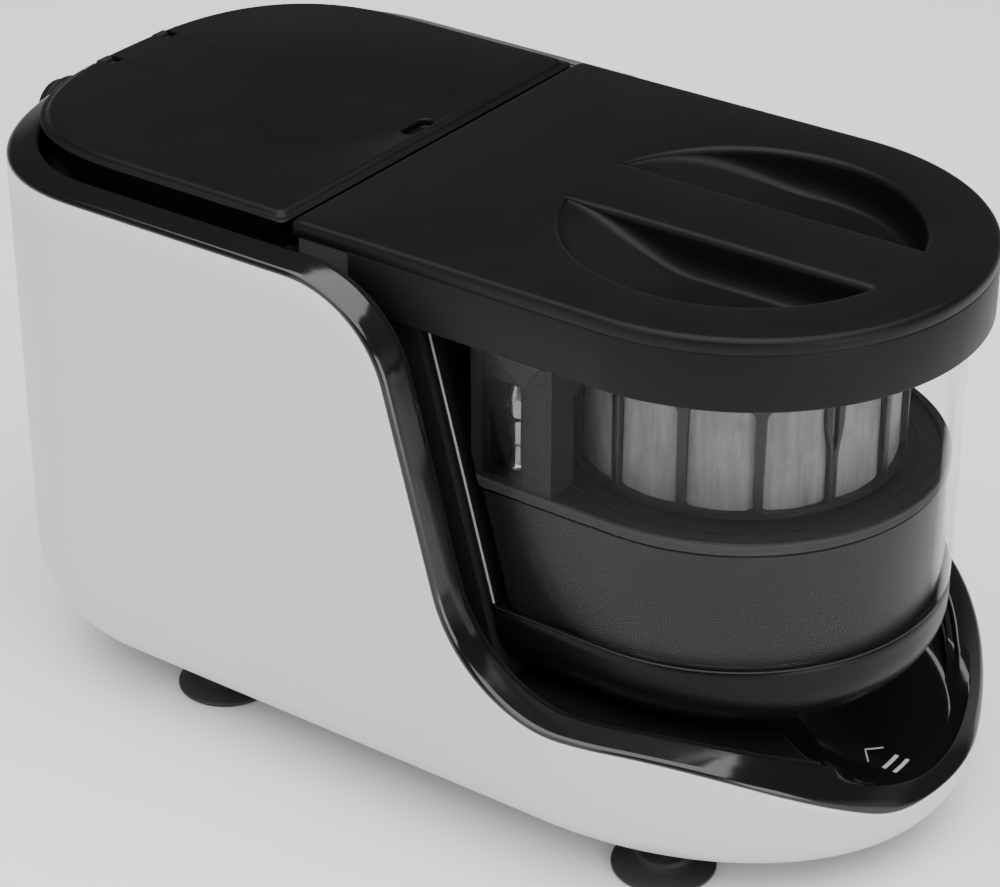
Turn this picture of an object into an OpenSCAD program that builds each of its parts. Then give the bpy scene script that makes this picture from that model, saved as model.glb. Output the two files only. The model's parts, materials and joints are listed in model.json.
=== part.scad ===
// Washing-machine fibre filter with a mesh drum in a pull-out clear bowl.
// Front is -Y, rear is +Y, +Z is up. The origin is on the table, under the
// middle of the overall length and width.

/* [Shell] */
// Overall width of the white shell
shell_w = 193; // [190:1:196]
// Wall thickness of the shell
shell_t = 2.5; // [2:0.1:3]
// Height of the shell's top edge at the rear
shell_top = 194; // [192:0.5:195]
// Radius of the rounding along the shell's bottom
belly_r = 45; // [42:1:46]
// Depth of the half-elliptical nose in plan
nose_d = 103; // [102:1:104]
// Width of the glossy trim band, seen from above
trim_w = 10.5; // [10:0.5:11]

/* [Lids] */
// Height of the lids' top surface above the table
lid_top = 204; // [203:0.5:205]
// Radius of the front lid's round end, and half the width of both lids
lid_r = 80; // [79:0.5:80.5]
// Depth of the front lid's skirt
skirt_h = 23.8; // [22:0.1:25]
// Radius of the circle that bounds the two grip recesses
grip_r = 57; // [54:1:58]
// Width of the bar left between the grip recesses
grip_bar = 32; // [28:1:36]

/* [Bowl and drum] */
// Outer radius of the clear bowl
bowl_r = 72.7; // [72:0.1:73]
// Wall of the clear bowl
bowl_t = 2.5; // [2:0.1:2.6]
// Outer radius of the mesh drum
drum_r = 54.4; // [53:0.2:54.6]
// Number of ribs on the drum
drum_ribs = 14; // [10:1:18]

/* [Feet and hose tails] */
// Radius of a suction foot
foot_r = 17.5; // [15:0.5:18]
// Outer radius of a hose tail
tail_r = 9.5; // [9:0.1:10]

/* [Hidden] */
$fn = 96;
big = 420;

// ---- shared places -------------------------------------------------------
drum_y = -101;        // axis of the bowl and the lid's round end
spin_y = -102.2;      // axis of the drum, its shaft and its drive
nose_y = -85;         // centre of the nose ellipse
tail_y = 91;          // where the straight sides end at the rear
tail_d = 69.6;        // depth of the rounded tail
tail_n = 2.3;         // exponent of the tail's superellipse
shell_z = 6;          // underside of the shell
seam_y = 14.5;        // rear edge of the front lid
lid_gap = 2.5;        // gap between the two lids
slant_a = 74.7;       // angle of the slanted dock face above the horizontal
dock_z = 61.7;        // level of the shell's edge along the dock
tray_z = 58.2;        // top of the tray under the bowl
tray_t = 2.5;
deck_z = 186;         // top of the service deck
deck_t = 2.5;
plate_z = 12;         // underside of the chassis plate
plate_t = 2.5;
plate_top = plate_z + plate_t;

// ---- plan outline of the shell ------------------------------------------
function sgn_pow(v, p) = sign(v) * pow(abs(v), p);
function arc(c, r, a0, a1, n) =
    [for (i = [0:n]) let (a = a0 + (a1 - a0) * i / n) c + r * [cos(a), sin(a)]];
// Front half ellipse then rear superellipse, pulled in by separate amounts
function plan_points(side, front, rear, n = 26) = concat(
    [for (i = [0:n]) let (a = 180 + 180 * i / n)
        [(shell_w / 2 - side) * cos(a), nose_y + (nose_d - front) * sin(a)]],
    [for (i = [0:n]) let (a = 180 * i / n)
        [(shell_w / 2 - side) * sgn_pow(cos(a), 2 / tail_n),
         tail_y + (tail_d - rear) * sgn_pow(sin(a), 2 / tail_n)]]);

module plan(inset) polygon(plan_points(inset, inset, inset));

// Lays a side view, drawn as (Y, Z), across the full width
module side_extrude(w = big) {
    rotate([90, 0, 90]) linear_extrude(w, center = true) children();
}

// ---- side curve of the shell's edge --------------------------------------
// Everything below the S-shaped edge; lift moves the edge outward
dip_r = 86;
dip_y = -116;
dip_a = 141.2;
function edge_curve(lift) = concat(
    arc([3.6, shell_top - 38], 38 + lift, 90, 90 + slant_a, 10),
    arc([-99.7, dock_z + 50], 50 - lift, slant_a - 90, -90, 12),
    arc([dip_y, dock_z - dip_r], dip_r + lift, 90, dip_a, 12),
    [[-210, dock_z - dip_r + (dip_r + lift) * sin(dip_a)]]);
module below_edge(lift) {
    polygon(concat([[-210, -10], [210, -10], [210, shell_top + lift]], edge_curve(lift)));
}
module edge_band(low, high) {
    difference() {
        below_edge(high);
        below_edge(low);
    }
}

// ---- slanted face between bowl and tower ---------------------------------
function slant_y(z) = -57.3 + (z - 83.7) / tan(slant_a);
module front_of_slant(gap) {
    side_extrude()
        polygon([[-300, 0], [slant_y(0) - gap, 0], [slant_y(240) - gap, 240], [-300, 240]]);
}
module d_plan(r) {
    translate([0, drum_y]) {
        circle(r);
        translate([-r, 0]) square([2 * r, 110]);
    }
}
// A D-shaped block with a round front and a slanted back
module d_block(r, z0, z1, gap) {
    intersection() {
        translate([0, 0, z0]) linear_extrude(z1 - z0) d_plan(r);
        front_of_slant(gap);
    }
}
module d_ring(r_in, r_out, z0, z1, gap_out) {
    difference() {
        d_block(r_out, z0, z1, gap_out);
        d_block(r_in, z0 - 1, z1 + 1, gap_out + r_out - r_in);
    }
}
module cup_profile(r, h, f) {
    translate([0, f]) square([r, h - f]);
    square([r - f, h]);
    intersection() {
        translate([r - f, f]) circle(f);
        square([r, f]);
    }
}
// A D-shaped block whose bottom edge is rounded
module d_cup(r, z0, z1, f, gap) {
    intersection() {
        translate([0, drum_y, z0]) union() {
            rotate_extrude() cup_profile(r, z1 - z0, f);
            for (s = [0, 1]) mirror([s, 0, 0])
                rotate([90, 0, 180]) linear_extrude(110)
                    cup_profile(r, z1 - z0, f);
        }
        front_of_slant(gap);
    }
}
module tube(r_out, r_in, h) {
    difference() {
        cylinder(r = r_out, h = h);
        translate([0, 0, -1]) cylinder(r = r_in, h = h + 2);
    }
}
// Round bar along +Y from y0 to y1 at x, z
module rod_y(x, z, y0, y1, r) {
    translate([x, y0, z]) rotate([-90, 0, 0]) cylinder(r = r, h = y1 - y0);
}

// ---- shell, trim and dock -------------------------------------------------
nose_fillet = 23.6;
// Closed hull shape of the shell, pulled in by t on every side
module tub(t) {
    n = 26;
    steps = 7;
    levels = [for (i = [0:steps]) let (a = 90 - 90 * i / steps, r = belly_r,
                   z = shell_z + r * (1 - sin(a)),
                   fz = min(1, max(0, (z - shell_z) / nose_fillet)))
        [r * (1 - cos(a)), nose_fillet * (1 - sqrt(1 - (1 - fz) * (1 - fz))), z]];
    rings = concat(
        [for (l = levels) [for (p = plan_points(l[0] + t, l[1] + t, l[0] + t, n)) [p.x, p.y, l.z + t]]],
        [[for (p = plan_points(t, t, t, n)) [p.x, p.y, 230]]]);
    m = len(rings[0]);
    points = [for (ring = rings) each ring];
    sides = [for (k = [0:len(rings) - 2], i = [0:m - 1]) let (j = (i + 1) % m)
        each [[k * m + i, (k + 1) * m + i, k * m + j], [k * m + j, (k + 1) * m + i, (k + 1) * m + j]]];
    bottom = [[for (i = [0:m - 1]) i]];
    top = [[for (i = [m - 1:-1:0]) (len(rings) - 1) * m + i]];
    polyhedron(points, concat(bottom, sides, top));
}
foot_x = 58;
foot_y = [-116, 69];
module at_feet() {
    for (x = [-foot_x, foot_x], y = foot_y) translate([x, y, 0]) children();
}
port_x = [-3, 26];   // inlet, outlet
port_z = 173;
out_z = 128;          // outlet port, lower down the rear
port_zs = [port_z, out_z];
port_r = 8;
jack_x = -12;
jack_z = 62;
jack_r = 6;

module outer_shell() {
    color("white") difference() {
        union() {
            difference() {
                intersection() {
                    tub(0);
                    side_extrude() below_edge(0);
                }
                tub(shell_t);
            }
            at_feet() translate([0, 0, 5.5]) cylinder(r = 10, h = 4.5);
        }
        at_feet() cylinder(r = 2, h = 20);
        for (i = [0, 1]) rod_y(port_x[i], port_zs[i], 140, 170, port_r + 0.2);
        rod_y(jack_x, jack_z, 140, 170, jack_r + 0.2);
    }
}
trim_lift = 4;
module plan_ring(a, b) {
    difference() {
        plan(a);
        plan(b);
    }
}
scoop_c = [0, -168, 77];
scoop_r = 50;
tray_lip = 5;         // how far in the finger scoop stops short of the outline
// Sloped band that caps the shell's edge, with an inner wall below it
module trim_band() {
    color("#101012") difference() {
        band_solid();
        intersection() {
            translate(scoop_c) sphere(scoop_r + tray_t + 0.1);
            linear_extrude(230) plan(tray_lip - 0.1);
        }
    }
}
module band_solid() {
    union() {
        intersection() {
            linear_extrude(230) plan_ring(3.5, trim_w);
            side_extrude() edge_band(0, trim_lift);
        }
        intersection() {
            linear_extrude(230) plan_ring(0, 3.5);
            side_extrude() edge_band(0, trim_lift / 2);
        }
        intersection() {
            linear_extrude(230) plan_ring(trim_w - 3, trim_w);
            side_extrude() {
                edge_band(-4, 0);
                intersection() {
                    edge_band(-10.5, 0);
                    translate([-60, 0]) square([300, 230]);
                }
            }
        }
    }
}
cheek_t = 3;
module dock_tray() {
    color("#0c0c0e") {
        // floor, level under the bowl and falling towards the nose
        difference() {
            intersection() {
                linear_extrude(230) plan(trim_w);
                side_extrude() {
                    intersection() {
                        edge_band(-6, -3.5);
                        translate([-210, 0]) square([210 - 99.7, 120]);
                    }
                    translate([-99.8, tray_z - tray_t]) square([50, tray_t]);
                }
            }
            translate(scoop_c) sphere(scoop_r);
        }
        // finger scoop under the front of the bowl
        difference() {
            intersection() {
                translate(scoop_c) sphere(scoop_r + tray_t);
                union() {
                    intersection() {
                        side_extrude() below_edge(-3.5);
                        linear_extrude(230) plan(trim_w - 0.5);
                    }
                    intersection() {
                        side_extrude() below_edge(1.6);
                        linear_extrude(230) plan_ring(tray_lip, trim_w + cheek_t);
                    }
                }
            }
            translate(scoop_c) sphere(scoop_r);
        }
        // cheeks beside the bowl, and the lip round the nose
        difference() {
            intersection() {
                linear_extrude(230) plan_ring(trim_w, trim_w + cheek_t);
                side_extrude() intersection() {
                    union() {
                        edge_band(-3.5, 2);
                        intersection() {
                            edge_band(-34, 2);
                            translate([-110, tray_z]) square([200, 150]);
                        }
                    }
                    translate([-210, 0]) square([210 + tower_rear, 230]);
                }
            }
            translate(scoop_c) sphere(scoop_r);
        }
    }
}
module at_chassis_screws() {
    for (x = [-34, 34], y = [-112, -16, 90]) translate([x, y, 0]) children();
}
module chassis_plate() {
    color("#3a3d40") difference() {
        union() {
            translate([-60, -120, plate_z]) cube([120, 230, plate_t]);
            at_chassis_screws() translate([0, 0, 8.5]) cylinder(r = 6, h = 3.6);
        }
        at_chassis_screws() cylinder(r = 1.8, h = 40);
        translate([-24, -62, 0]) cube([48, 36, 30]);
    }
}
module chassis_screws() {
    color("silver") at_chassis_screws() {
        translate([0, 0, 8.6]) cylinder(r = 1.8, h = plate_top - 8.6);
        translate([0, 0, plate_top]) difference() {
            cylinder(r = 3.4, h = 2.2);
            translate([0, 0, 1.2]) cylinder(r = 1.4, h = 2, $fn = 6);
        }
    }
}
module suction_feet() {
    color("#1a1a1a") at_feet() rotate_extrude()
        polygon([[2, 5.5], [2, 2.4], [10, 1.9], [15, 0], [foot_r, 0],
            [foot_r, 1.1], [11, 3.4], [8.5, 5.5]]);
}
module foot_studs() {
    color("silver") at_feet() translate([0, 0, 2.4]) cylinder(r = 2, h = 9);
}

// ---- tower behind the bowl ------------------------------------------------
tower_x = 74.5;
tower_front = 1.5;
tower_top = 198;
tower_rear = 12;
inlet_bore = 6;
drain_x = 4;
drain_z = 100;
drain_y = 18;
module tower_profile(t) {
    polygon([[slant_y(tray_z) + tower_front + t, tray_z],
        [slant_y(tower_top) + tower_front + t, tower_top - t], [-8 - t, tower_top - t],
        [-8 - t, deck_z - t], [tower_rear - t, deck_z - t], [tower_rear - t, tray_z]]);
}
module tower_housing() {
    color("#202124") difference() {
        union() {
            difference() {
                side_extrude(2 * tower_x) tower_profile(0);
                difference() {
                    side_extrude(2 * (tower_x - 2.5)) tower_profile(2.5);
                    // bosses behind the two ports
                    rod_y(port_x[0], port_z, -60, -18, port_r);
                    rod_y(drain_x, drain_z, -60, -18, port_r);
                }
            }
            // gussets that stand on the chassis plate
            for (s = [0, 1]) mirror([s, 0, 0])
                translate([48, tower_rear - 6, plate_top]) cube([12, 6, tray_z - plate_top + 6]);
        }
        rod_y(port_x[0], port_z, -70, 0, inlet_bore);
        rod_y(drain_x, drain_z, -70, 0, inlet_bore);
        rod_y(port_x[0], port_z, 5, 20, hose_r + 0.3);
    }
}
module head_block() {
    color("#5c5f63") difference() {
        translate([-78.6, -7.6, deck_z]) cube([157.2, 19.6, tower_top - deck_z]);
        translate([-70, -4, deck_z - 1]) cube([140, 12, 9]);
    }
}
// Rings that close the small gap between tower and bowl
module dock_seals() {
    color("#2b2b2b") for (p = [[port_x[0], port_z], [drain_x, drain_z]])
        intersection() {
            difference() {
                rod_y(p.x, p[1], -70, 0, 11);
                rod_y(p.x, p[1], -71, 1, inlet_bore);
            }
            difference() {
                front_of_slant(-tower_front);
                front_of_slant(-0.4);
            }
        }
}
module level_sensor() {
    color("#e8e6df") translate([34, slant_y(134) + tower_front + 2.7, 112]) cube([16, 8, 22]);
}

// ---- service deck and rear lid -------------------------------------------
hinge_y = 149.5;
hinge_z = 202.3;
hinge_r = 1;
ear_x = 12;           // inner side of each hinge ear
ear_w = 5;
ear_r = 1.65;
access_screw_x = 40;
access_screw_y = [46, 114];
deck_screw_y = [26, 78];
module deck_screw_places() {
    for (x = [-access_screw_x, access_screw_x], y = access_screw_y) translate([x, y, 2.5]) children();
    for (x = [-66, 66], y = deck_screw_y) translate([x, y, 0]) children();
}
module service_deck() {
    color("#26272a") difference() {
        union() {
            intersection() {
                translate([0, 0, deck_z - deck_t]) linear_extrude(deck_t) plan(trim_w + 0.2);
                translate([-100, tower_rear, 0]) cube([200, 160, 220]);
            }
            difference() {
                translate([-53, 26, deck_z]) cube([106, 98, 11]);
                translate([-51, 28, deck_z - 1]) cube([102, 94, 14]);
            }
            for (x = [-ear_x - ear_w, ear_x]) translate([x, 0, 0]) {
                translate([0, 144.5, deck_z]) cube([ear_w, 4.4, hinge_z - deck_z]);
                translate([0, hinge_y, hinge_z]) rotate([0, 90, 0]) cylinder(r = ear_r, h = ear_w);
            }
        }
        translate([-34, 52, deck_z - 5]) cube([68, 56, 10]);
        deck_screw_places() translate([0, 0, deck_z - 10]) cylinder(r = 1.6, h = 12);
        translate([-20, hinge_y, hinge_z]) rotate([0, 90, 0]) cylinder(r = hinge_r, h = 40);
    }
}
module access_cover() {
    color("#303236") difference() {
        union() {
            translate([-46, 40, deck_z]) cube([92, 80, 2.5]);
            for (i = [0:4]) translate([-30, 58 + 11 * i, deck_z + 2.5]) cube([60, 3, 1.2]);
        }
        for (x = [-access_screw_x, access_screw_x], y = access_screw_y)
            translate([x, y, deck_z - 1]) cylinder(r = 1.6, h = 6);
    }
}
module deck_screws() {
    color("silver") deck_screw_places() {
        translate([0, 0, deck_z - 7]) cylinder(r = 1.6, h = 7);
        translate([0, 0, deck_z]) difference() {
            cylinder(r = 3.2, h = 2);
            translate([0, 0, 1]) cylinder(r = 1.3, h = 2, $fn = 6);
        }
    }
}
module hinge_pin() {
    color("silver") translate([-24, hinge_y, hinge_z]) rotate([0, 90, 0]) cylinder(r = hinge_r, h = 48);
}
rear_n = 2.6;
rear_lid_y = 83;
rear_lid_d = 70;
module rear_plan(inset) {
    n = 26;
    r = lid_r - inset;
    polygon(concat(
        [[-r, seam_y + lid_gap + inset], [r, seam_y + lid_gap + inset]],
        [for (i = [0:n]) let (a = 180 * i / n)
            [r * sgn_pow(cos(a), 2 / rear_n), rear_lid_y + (rear_lid_d - inset) * sgn_pow(sin(a), 2 / rear_n)]]));
}
rear_skirt = 4.5;     // how far the skirt stands in from the lid's edge
module rear_lid() {
    color("#141416") difference() {
        union() {
            translate([0, 0, lid_top - 4]) linear_extrude(1.4) rear_plan(1.4);
            translate([0, 0, lid_top - 2.6]) linear_extrude(0.8) rear_plan(0);
            translate([0, 0, lid_top - 1.8]) linear_extrude(1.8) rear_plan(2);
            difference() {
                translate([0, 0, lid_top - 14]) linear_extrude(12) rear_plan(rear_skirt);
                translate([0, 0, lid_top - 15]) linear_extrude(11) rear_plan(rear_skirt + 2.5);
                translate([-24, 138, lid_top - 15]) cube([48, 20, 11]);
            }
        }
        translate([-25, hinge_y, hinge_z]) rotate([0, 90, 0]) cylinder(r = hinge_r + 0.05, h = 50);
        // slots round the hinge ears, open to the rear
        for (x = [-ear_x - ear_w - 0.4, ear_x - 0.4])
            translate([x, 143.2, lid_top - 15]) cube([ear_w + 0.8, 20, 20]);
        // finger notch beside the seam
        translate([1, 25.5, lid_top - 3]) linear_extrude(5) for (s = [-1, 1]) {
            translate([s * 4.5, 0]) circle(2.6);
            translate([-4.5, -2.6]) square([9, 5.2]);
        }
    }
}
module rear_lid_seal() {
    color("#2b2b2b") difference() {
        translate([-54, 25, lid_top - 6]) cube([108, 100, 2]);
        translate([-50, 29, lid_top - 7]) cube([100, 92, 4]);
    }
}

// ---- front lid ------------------------------------------------------------
plate_h = 5;
skirt_back = -8.3;
module lid_plan(inset) {
    translate([0, drum_y]) {
        circle(lid_r - inset);
        translate([-(lid_r - inset), 0]) square([2 * (lid_r - inset), seam_y - drum_y - inset]);
    }
}
grip_depth = 14.5;
module grip_plan(grow) {
    for (s = [0, 1]) mirror([s, 0]) translate([0, drum_y]) intersection() {
        circle(grip_r + grow);
        translate([grip_bar / 2 - grow, -80]) square([80, 160]);
    }
}
module front_lid() {
    color("#141416") difference() {
        union() {
            translate([0, 0, lid_top - plate_h]) linear_extrude(plate_h - 2) lid_plan(0);
            translate([0, 0, lid_top - 2]) linear_extrude(2) lid_plan(1.6);
            intersection() {
                translate([0, 0, lid_top - skirt_h]) linear_extrude(skirt_h - plate_h) difference() {
                    lid_plan(0);
                    lid_plan(2.8);
                    translate([-77.2, -30]) square([154.4, 60]);
                }
                translate([-100, -200, 0]) cube([200, 200 + skirt_back, 300]);
            }
            translate([0, 0, lid_top - grip_depth - 2.5]) linear_extrude(grip_depth) grip_plan(2);
        }
        translate([0, 0, lid_top - grip_depth]) linear_extrude(grip_depth + 1) grip_plan(0);
    }
}
bowl_top = 197.2;
module lid_liner() {
    color("#2c2d30") d_ring(67.2, 69.2, deck_z, lid_top - plate_h, 3.6);
}
module lid_seal() {
    color("#2b2b2b") d_ring(bowl_r - bowl_t + 0.4, bowl_r - 0.3, bowl_top + 0.3, lid_top - plate_h, 0.4);
}

// ---- bowl -----------------------------------------------------------------
base_z = 58.7;
base_top = 84.4;
joint_h = 1;
base_f = 18;
module clear_bowl() {
    color([0.85, 0.9, 0.92, 0.35]) difference() {
        d_ring(bowl_r - bowl_t, bowl_r, base_top + joint_h, bowl_top, 0);
        rod_y(port_x[0], port_z, -60, 0, inlet_bore);
        rod_y(drain_x, drain_z, -70, 0, inlet_bore);
    }
}
module bowl_joint_ring() {
    color("#9a9da0") d_ring(bowl_r - bowl_t, bowl_r, base_top, base_top + joint_h, 0);
}
module bowl_base() {
    color("#191a1c") difference() {
        d_cup(bowl_r, base_z, base_top, base_f, 0);
        d_cup(bowl_r - bowl_t, base_z + bowl_t, base_top + 20, base_f - bowl_t, bowl_t);
    }
}
magnet_x = 42;
magnet_y = -72;
module bowl_keepers() {
    color("silver") for (x = [-magnet_x, magnet_x])
        translate([x, magnet_y, base_z + bowl_t]) cylinder(r = 5, h = 1.5);
}
module dock_magnets() {
    color("silver") for (x = [-magnet_x, magnet_x])
        translate([x, magnet_y, tray_z - tray_t - 3]) cylinder(r = 5, h = 3);
}

// ---- catch pot and what stands on it --------------------------------------
pot_r = 69.2;
pot_t = 2.2;
pot_z = 74;
pot_top = 129;
pot_gap = 3.5;
drum_deck_z = 125;
drum_deck_t = 2.5;
shaft_r = 4;
bush_r = 7;
column_r = 9;
bush_h = 8;
module catch_pot() {
    color("#2e2f32") difference() {
        union() {
            difference() {
                d_block(pot_r, pot_z, pot_top, pot_gap);
                d_block(pot_r - pot_t, pot_z + pot_t, pot_top + 5, pot_gap + pot_t);
            }
            translate([0, spin_y, pot_z]) cylinder(r = column_r, h = drum_deck_z - pot_z);
        }
        translate([0, spin_y, pot_z - 1]) cylinder(r = bush_r, h = 60);
    }
}
module pot_seal() {
    color("#0d0d0e") d_ring(pot_r, pot_r + 0.6, pot_top - 3.5, pot_top, pot_gap - 0.6);
}
module shaft_bushes() {
    color("#d8d2c4") for (z = [pot_z, drum_deck_z - bush_h])
        translate([0, spin_y, z]) tube(bush_r, shaft_r + 0.05, bush_h);
}
module drum_deck() {
    color("#1b1c1e") difference() {
        union() {
            d_block(pot_r - pot_t - 0.1, drum_deck_z, drum_deck_z + drum_deck_t, pot_gap + pot_t + 0.1);
            intersection() {
                translate([0, drum_y, drum_deck_z + drum_deck_t]) tube(60.6, 59.4, 0.6);
                d_block(pot_r, drum_deck_z, pot_top, pot_gap + pot_t + 0.3);
            }
        }
        translate([0, spin_y, drum_deck_z - 1]) cylinder(r = shaft_r + 1, h = 6);
        for (i = [0:7]) translate([0, spin_y, drum_deck_z - 1]) rotate([0, 0, 22.5 + 45 * i])
            translate([32, 0, 0]) cylinder(r = 9, h = 6);
    }
}
head_y0 = -77;
head_y1 = -46.5;
head_x = 68.4;
head_z0 = pot_top;
head_z1 = 184;
head_gap = pot_gap + 0.1;
bridge_z = 179.5;
niche_y0 = -66;
niche_y1 = -53.5;
niche_z = head_z0 + 2;
// Two pillars behind the drum, joined by a plate over the drum's rear
module flow_head() {
    color("#222326") difference() {
        intersection() {
            union() {
                translate([-head_x, head_y0, head_z0])
                    cube([2 * head_x, head_y1 - head_y0, head_z1 - head_z0]);
                translate([-head_x, -92, bridge_z]) cube([2 * head_x, 70, head_z1 - bridge_z]);
                translate([port_x[0] - 11, -50, port_z - 12]) cube([22, 30, 22]);
            }
            front_of_slant(head_gap);
            linear_extrude(240) d_plan(head_x);
        }
        translate([0, drum_y, head_z0 - 1]) cylinder(r = 61, h = port_z - 12 - head_z0);
        translate([0, drum_y, head_z0 - 1]) cylinder(r = 57.6, h = bridge_z - head_z0 + 1);
        translate([0, drum_y, bridge_z - 1]) cylinder(r = 47, h = 10);
        // window niche for the nozzle
        translate([-80, niche_y0, niche_z]) cube([28, niche_y1 - niche_y0, 34]);
        // inlet duct that feeds the drum
        rod_y(port_x[0], port_z, -60, -30, inlet_bore);
    }
}
module head_window() {
    color([0.85, 0.9, 0.92, 0.35]) translate([-head_x - 1, head_y0, head_z0 + 1])
        cube([1, 26, head_z1 - head_z0 - 2]);
}
module spray_nozzle() {
    color([0.9, 0.93, 0.95, 0.5]) translate([-60.5, -59.8, niche_z]) {
        tube(3.2, 1.6, 19);
        translate([0, 0, 19]) cylinder(r = 4.4, h = 8);
        translate([0, -5.8, 23]) rotate([-90, 0, 0]) cylinder(r = 3, h = 11.6);
        translate([0, 0, 27]) cylinder(r1 = 4.4, r2 = 2.4, h = 4);
    }
}

// ---- drum -----------------------------------------------------------------
drum_z0 = 129.4;
drum_z1 = 177;
drum_wall = 2.4;
mesh_t = 0.6;
rib_w = 3.8;
hub_z = 130;
window_z0 = drum_z0 + 3.6;
window_z1 = 169;
// One ring wall with a window cut out between each pair of ribs
module drum_frame() {
    pitch = 360 / drum_ribs;
    half = pitch / 2 - asin(rib_w / 2 / drum_r);
    color("#1c1d1f") translate([0, spin_y, 0]) difference() {
        translate([0, 0, drum_z0]) tube(drum_r, drum_r - drum_wall, drum_z1 - drum_z0);
        for (i = [0:drum_ribs - 1]) rotate([0, 0, -90 + pitch * (i + 0.5)])
            translate([0, 0, window_z0]) linear_extrude(window_z1 - window_z0)
                polygon([[20 * cos(half), -20 * sin(half)], [64 * cos(half), -64 * sin(half)],
                    [64 * cos(half), 64 * sin(half)], [20 * cos(half), 20 * sin(half)]]);
    }
}
module drum_mesh() {
    color("#b9bbbd") translate([0, spin_y, drum_z0])
        tube(drum_r - drum_wall, drum_r - drum_wall - mesh_t, drum_z1 - drum_z0 - 1);
}
module drum_hub() {
    color("#c9cacc") translate([0, spin_y, 0]) difference() {
        union() {
            translate([0, 0, hub_z]) cylinder(r = drum_r - drum_wall - mesh_t, h = 2);
            for (r = [16, 26, 38]) translate([0, 0, hub_z + 2]) tube(r + 1, r - 1, 1.4);
            translate([0, 0, hub_z]) cylinder(r = 8, h = 9);
        }
        translate([0, 0, hub_z - 1]) cylinder(r = shaft_r, h = 8);
    }
}
module drum_shaft() {
    color("silver") translate([0, spin_y, 71]) cylinder(r = shaft_r, h = hub_z + 7 - 71);
}
magnet_r = 18;
module driven_magnet() {
    color("#3b3b42") translate([0, spin_y, 64.5]) cylinder(r = magnet_r, h = 6.5);
}

// ---- drive below the tray -------------------------------------------------
motor_r = 19;
motor_top = 44;
spindle_r = 2.5;
run_gap = 0.05;
module drive_motor() {
    color("#8d9094") translate([0, spin_y, 0]) difference() {
        translate([0, 0, plate_top]) cylinder(r = motor_r, h = motor_top - plate_top);
        translate([0, 0, motor_top - 10]) cylinder(r = spindle_r + run_gap, h = 11);
    }
}
module motor_bracket() {
    color("#6b6e72") translate([0, spin_y, 0]) {
        translate([0, 0, 34]) tube(motor_r + 4, motor_r, 3);
        for (a = [30, 150, 270]) rotate([0, 0, a])
            translate([motor_r + 0.4, -4, plate_top]) cube([3.2, 8, 36 - plate_top]);
    }
}
module drive_rotor() {
    color("#3b3b42") translate([0, spin_y, 0]) {
        translate([0, 0, motor_top - 9]) cylinder(r = spindle_r, h = 13);
        translate([0, 0, motor_top + 3]) cylinder(r = magnet_r, h = 6.5);
    }
}

// ---- pump -----------------------------------------------------------------
pump_x = 4;
pump_y = 70;
pump_z = plate_top + 2;
volute_r = 32;
volute_h = 24;
stub_z = pump_z + 13;
out_x = port_x[1];
module pump_volute() {
    color("#4a4d52") difference() {
        union() {
            translate([pump_x, pump_y, pump_z]) cylinder(r = volute_r, h = volute_h);
            for (a = [45:90:315]) translate([pump_x, pump_y, plate_top]) rotate([0, 0, a])
                translate([24, 0, 0]) cylinder(r = 4, h = 2);
            rod_y(out_x, stub_z, pump_y, 108, 9);
            rod_y(drain_x, stub_z, drain_y, pump_y, 9);
        }
        translate([pump_x, pump_y, pump_z + 3]) cylinder(r = 28, h = volute_h - 6);
        translate([pump_x, pump_y, pump_z]) cylinder(r = spindle_r + run_gap, h = volute_h + 1);
        rod_y(out_x, stub_z, pump_y, 109, 6);
        rod_y(drain_x, stub_z, drain_y - 1, pump_y, 6);
    }
}
module pump_motor() {
    color("#8d9094") translate([pump_x, pump_y, pump_z + volute_h]) difference() {
        union() {
            cylinder(r = 25, h = 46);
            for (i = [0:2]) translate([0, 0, 10 + 12 * i]) cylinder(r = 26.5, h = 4);
        }
        translate([0, 0, -1]) cylinder(r = spindle_r + run_gap, h = 21);
    }
}
module pump_impeller() {
    color("#d9d4c6") translate([pump_x, pump_y, pump_z]) {
        translate([0, 0, 5]) cylinder(r = 24, h = 2.5);
        for (i = [0:5]) rotate([0, 0, 60 * i]) translate([4, -1.25, 7.5]) cube([19, 2.5, 10]);
        translate([0, 0, 1]) cylinder(r = spindle_r, h = volute_h + 18);
        translate([0, 0, 5]) cylinder(r = 6, h = 13);
    }
}

// ---- hoses, valve and ports ------------------------------------------------
hose_r = 9;
hose_in = 6.6;
bend_r = 18;
// Quarter bend in the YZ plane, centred at (y, z), from angle a to a + 90
module bend(x, y, z, a) {
    translate([x, y, z]) rotate([0, 90, 0]) rotate([0, 0, a + 90])
        rotate_extrude(angle = 90) translate([bend_r, 0]) difference() {
            circle(hose_r);
            circle(hose_in);
        }
}
module hose_z(x, y, z0, z1) {
    translate([x, y, z0]) tube(hose_r, hose_in, z1 - z0);
}
module outlet_hose() {
    color("#55585c") {
        bend(out_x, 108, stub_z + bend_r, -90);
        hose_z(out_x, 108 + bend_r, stub_z + bend_r, out_z - bend_r);
        bend(out_x, 108 + 2 * bend_r, out_z - bend_r, 90);
    }
}
module drain_hose() {
    color("#55585c") {
        bend(drain_x, drain_y, stub_z + bend_r, 180);
        hose_z(drain_x, drain_y - bend_r, stub_z + bend_r, drain_z - bend_r);
        bend(drain_x, drain_y - 2 * bend_r, drain_z - bend_r, 0);
    }
}
module feed_hose() {
    color("#55585c") difference() {
        rod_y(port_x[0], port_z, -18, 100, hose_r);
        rod_y(port_x[0], port_z, -19, 101, hose_in);
    }
}
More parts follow.
